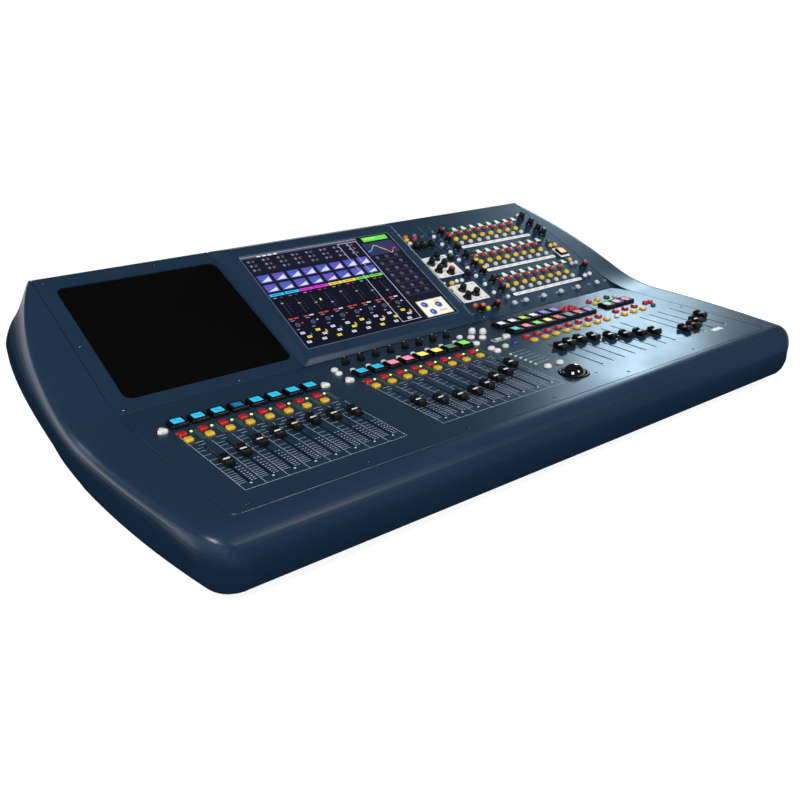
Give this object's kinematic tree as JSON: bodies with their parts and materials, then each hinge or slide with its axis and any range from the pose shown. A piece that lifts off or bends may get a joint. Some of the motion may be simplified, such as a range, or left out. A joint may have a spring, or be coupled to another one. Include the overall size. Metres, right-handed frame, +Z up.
{
  "type": "mixing console",
  "caption": "Wide digital mixing console with a low fader deck, a steeper upper deck, a raised display, rotary encoders, a trackball and a round padded front edge.",
  "frame": {"origin": "On the table, under the middle of the console's box.", "axes": "+X to the operator's right along the width, +Y to the rear, +Z up."},
  "size_m": [1.2008, 0.7054, 0.313],
  "materials": {
    "navy_shell": "satin navy paint on moulded shell",
    "navy_panel": "satin navy paint on sheet metal",
    "black_tray": "matt black, fine texture",
    "black_plastic": "satin black",
    "gloss_black": "polished black",
    "screen_glass": "lit touch screen under clear glass",
    "key_rubber": "translucent moulded keys in several colours",
    "steel": "plain zinc-plated sheet",
    "board_green": "circuit board",
    "foot_rubber": "black rubber"
  },
  "bodies": {
    "console": {"base_pan": "steel", "foot_front_left": "foot_rubber", "foot_front_right": "foot_rubber", "foot_rear_left": "foot_rubber", "foot_rear_right": "foot_rubber", "front_armrest": "navy_shell", "side_pod_left": "navy_shell", "side_pod_right": "navy_shell", "rear_panel": "navy_panel", "lower_panel": "navy_panel", "upper_panel_left": "navy_panel", "upper_panel_right": "navy_panel", "display_housing": "navy_shell", "display_glass": "screen_glass", "bay_tray": "black_tray", "trackball_bezel": "black_plastic", "main_board": "board_green", "power_supply": "steel", "fader_bed": "steel"},
    "fader_left_1": {"fader_left_1": "black_plastic"},
    "fader_left_2": {"fader_left_2": "black_plastic"},
    "fader_left_3": {"fader_left_3": "black_plastic"},
    "fader_left_4": {"fader_left_4": "black_plastic"},
    "fader_left_5": {"fader_left_5": "black_plastic"},
    "fader_left_6": {"fader_left_6": "black_plastic"},
    "fader_left_7": {"fader_left_7": "black_plastic"},
    "fader_left_8": {"fader_left_8": "black_plastic"},
    "fader_centre_1": {"fader_centre_1": "black_plastic"},
    "fader_centre_2": {"fader_centre_2": "black_plastic"},
    "fader_centre_3": {"fader_centre_3": "black_plastic"},
    "fader_centre_4": {"fader_centre_4": "black_plastic"},
    "fader_centre_5": {"fader_centre_5": "black_plastic"},
    "fader_centre_6": {"fader_centre_6": "black_plastic"},
    "fader_centre_7": {"fader_centre_7": "black_plastic"},
    "fader_centre_8": {"fader_centre_8": "black_plastic"},
    "fader_group_1": {"fader_group_1": "black_plastic"},
    "fader_group_2": {"fader_group_2": "black_plastic"},
    "fader_group_3": {"fader_group_3": "black_plastic"},
    "fader_group_4": {"fader_group_4": "black_plastic"},
    "fader_group_5": {"fader_group_5": "black_plastic"},
    "fader_group_6": {"fader_group_6": "black_plastic"},
    "fader_group_7": {"fader_group_7": "black_plastic"},
    "fader_group_8": {"fader_group_8": "black_plastic"},
    "fader_output_1": {"fader_output_1": "black_plastic"},
    "fader_output_2": {"fader_output_2": "black_plastic"},
    "fader_output_3": {"fader_output_3": "black_plastic"},
    "fader_output_4": {"fader_output_4": "black_plastic"},
    "encoder_1": {"encoder_1": "black_plastic"},
    "encoder_2": {"encoder_2": "black_plastic"},
    "encoder_3": {"encoder_3": "black_plastic"},
    "encoder_4": {"encoder_4": "black_plastic"},
    "encoder_5": {"encoder_5": "black_plastic"},
    "encoder_6": {"encoder_6": "black_plastic"},
    "encoder_7": {"encoder_7": "black_plastic"},
    "encoder_8": {"encoder_8": "black_plastic"},
    "trackball": {"trackball": "gloss_black"},
    "left_key_mat": {"left_key_mat": "key_rubber"},
    "centre_key_mat": {"centre_key_mat": "key_rubber"},
    "right_key_mat": {"right_key_mat": "key_rubber"},
    "upper_key_mat": {"upper_key_mat": "key_rubber"}
  },
  "joints": [
    {"name": "fader_left_1_slide", "type": "slide", "parent": "console", "child": "fader_left_1", "axis": [0, 0.9903, 0.1392], "range_m": [-0.0485, 0.0515]},
    {"name": "fader_left_2_slide", "type": "slide", "parent": "console", "child": "fader_left_2", "axis": [0, 0.9903, 0.1392], "range_m": [-0.0611, 0.0389]},
    {"name": "fader_left_3_slide", "type": "slide", "parent": "console", "child": "fader_left_3", "axis": [0, 0.9903, 0.1392], "range_m": [-0.0728, 0.0272]},
    {"name": "fader_left_4_slide", "type": "slide", "parent": "console", "child": "fader_left_4", "axis": [0, 0.9903, 0.1392], "range_m": [-0.08, 0.02]},
    {"name": "fader_left_5_slide", "type": "slide", "parent": "console", "child": "fader_left_5", "axis": [0, 0.9903, 0.1392], "range_m": [-0.0863, 0.0137]},
    {"name": "fader_left_6_slide", "type": "slide", "parent": "console", "child": "fader_left_6", "axis": [0, 0.9903, 0.1392], "range_m": [-0.0878, 0.0122]},
    {"name": "fader_left_7_slide", "type": "slide", "parent": "console", "child": "fader_left_7", "axis": [0, 0.9903, 0.1392], "range_m": [-0.0824, 0.0176]},
    {"name": "fader_left_8_slide", "type": "slide", "parent": "console", "child": "fader_left_8", "axis": [0, 0.9903, 0.1392], "range_m": [-0.0758, 0.0242]},
    {"name": "fader_centre_1_slide", "type": "slide", "parent": "console", "child": "fader_centre_1", "axis": [0, 0.9903, 0.1392], "range_m": [-0.0482, 0.0518]},
    {"name": "fader_centre_2_slide", "type": "slide", "parent": "console", "child": "fader_centre_2", "axis": [0, 0.9903, 0.1392], "range_m": [-0.0347, 0.0653]},
    {"name": "fader_centre_3_slide", "type": "slide", "parent": "console", "child": "fader_centre_3", "axis": [0, 0.9903, 0.1392], "range_m": [-0.0266, 0.0734]},
    {"name": "fader_centre_4_slide", "type": "slide", "parent": "console", "child": "fader_centre_4", "axis": [0, 0.9903, 0.1392], "range_m": [-0.0275, 0.0725]},
    {"name": "fader_centre_5_slide", "type": "slide", "parent": "console", "child": "fader_centre_5", "axis": [0, 0.9903, 0.1392], "range_m": [-0.0347, 0.0653]},
    {"name": "fader_centre_6_slide", "type": "slide", "parent": "console", "child": "fader_centre_6", "axis": [0, 0.9903, 0.1392], "range_m": [-0.047, 0.053]},
    {"name": "fader_centre_7_slide", "type": "slide", "parent": "console", "child": "fader_centre_7", "axis": [0, 0.9903, 0.1392], "range_m": [-0.0572, 0.0428]},
    {"name": "fader_centre_8_slide", "type": "slide", "parent": "console", "child": "fader_centre_8", "axis": [0, 0.9903, 0.1392], "range_m": [-0.0767, 0.0233]},
    {"name": "fader_group_1_slide", "type": "slide", "parent": "console", "child": "fader_group_1", "axis": [0, 0.9903, 0.1392], "range_m": [-0.0818, 0.0182]},
    {"name": "fader_group_2_slide", "type": "slide", "parent": "console", "child": "fader_group_2", "axis": [0, 0.9903, 0.1392], "range_m": [-0.0869, 0.0131]},
    {"name": "fader_group_3_slide", "type": "slide", "parent": "console", "child": "fader_group_3", "axis": [0, 0.9903, 0.1392], "range_m": [-0.0875, 0.0125]},
    {"name": "fader_group_4_slide", "type": "slide", "parent": "console", "child": "fader_group_4", "axis": [0, 0.9903, 0.1392], "range_m": [-0.0812, 0.0188]},
    {"name": "fader_group_5_slide", "type": "slide", "parent": "console", "child": "fader_group_5", "axis": [0, 0.9903, 0.1392], "range_m": [-0.0671, 0.0329]},
    {"name": "fader_group_6_slide", "type": "slide", "parent": "console", "child": "fader_group_6", "axis": [0, 0.9903, 0.1392], "range_m": [-0.0557, 0.0443]},
    {"name": "fader_group_7_slide", "type": "slide", "parent": "console", "child": "fader_group_7", "axis": [0, 0.9903, 0.1392], "range_m": [-0.0467, 0.0533]},
    {"name": "fader_group_8_slide", "type": "slide", "parent": "console", "child": "fader_group_8", "axis": [0, 0.9903, 0.1392], "range_m": [-0.0362, 0.0638]},
    {"name": "fader_output_1_slide", "type": "slide", "parent": "console", "child": "fader_output_1", "axis": [0, 0.9903, 0.1392], "range_m": [-0.0128, 0.0872]},
    {"name": "fader_output_2_slide", "type": "slide", "parent": "console", "child": "fader_output_2", "axis": [0, 0.9903, 0.1392], "range_m": [-0.0146, 0.0854]},
    {"name": "fader_output_3_slide", "type": "slide", "parent": "console", "child": "fader_output_3", "axis": [0, 0.9903, 0.1392], "range_m": [-0.0284, 0.0716]},
    {"name": "fader_output_4_slide", "type": "slide", "parent": "console", "child": "fader_output_4", "axis": [0, 0.9903, 0.1392], "range_m": [-0.0428, 0.0572]},
    {"name": "encoder_1_turn", "type": "hinge", "parent": "console", "child": "encoder_1", "pos_m": [-0.1647, -0.00678, 0.14103], "axis": [0, -0.1392, 0.9903], "continuous": true},
    {"name": "encoder_2_turn", "type": "hinge", "parent": "console", "child": "encoder_2", "pos_m": [-0.1347, -0.00678, 0.14103], "axis": [0, -0.1392, 0.9903], "continuous": true},
    {"name": "encoder_3_turn", "type": "hinge", "parent": "console", "child": "encoder_3", "pos_m": [-0.1047, -0.00678, 0.14103], "axis": [0, -0.1392, 0.9903], "continuous": true},
    {"name": "encoder_4_turn", "type": "hinge", "parent": "console", "child": "encoder_4", "pos_m": [-0.0747, -0.00678, 0.14103], "axis": [0, -0.1392, 0.9903], "continuous": true},
    {"name": "encoder_5_turn", "type": "hinge", "parent": "console", "child": "encoder_5", "pos_m": [-0.0447, -0.00678, 0.14103], "axis": [0, -0.1392, 0.9903], "continuous": true},
    {"name": "encoder_6_turn", "type": "hinge", "parent": "console", "child": "encoder_6", "pos_m": [-0.0147, -0.00678, 0.14103], "axis": [0, -0.1392, 0.9903], "continuous": true},
    {"name": "encoder_7_turn", "type": "hinge", "parent": "console", "child": "encoder_7", "pos_m": [0.0153, -0.00678, 0.14103], "axis": [0, -0.1392, 0.9903], "continuous": true},
    {"name": "encoder_8_turn", "type": "hinge", "parent": "console", "child": "encoder_8", "pos_m": [0.0453, -0.00678, 0.14103], "axis": [0, -0.1392, 0.9903], "continuous": true},
    {"name": "trackball_roll", "type": "hinge", "parent": "console", "child": "trackball", "pos_m": [0.0954, -0.24866, 0.10098], "axis": [1, 0, 0], "continuous": true},
    {"name": "left_key_mat_press", "type": "slide", "parent": "console", "child": "left_key_mat", "axis": [0, 0.1392, -0.9903], "range_m": [0, 0.001], "stiffness_N_per_m": 4000, "springref_m": -0.0006},
    {"name": "centre_key_mat_press", "type": "slide", "parent": "console", "child": "centre_key_mat", "axis": [0, 0.1392, -0.9903], "range_m": [0, 0.001], "stiffness_N_per_m": 4000, "springref_m": -0.0006},
    {"name": "right_key_mat_press", "type": "slide", "parent": "console", "child": "right_key_mat", "axis": [0, 0.1392, -0.9903], "range_m": [0, 0.001], "stiffness_N_per_m": 4000, "springref_m": -0.0006},
    {"name": "upper_key_mat_press", "type": "slide", "parent": "console", "child": "upper_key_mat", "axis": [0, 0.5015, -0.8652], "range_m": [0, 0.001], "stiffness_N_per_m": 4000, "springref_m": -0.0006}
  ]
}
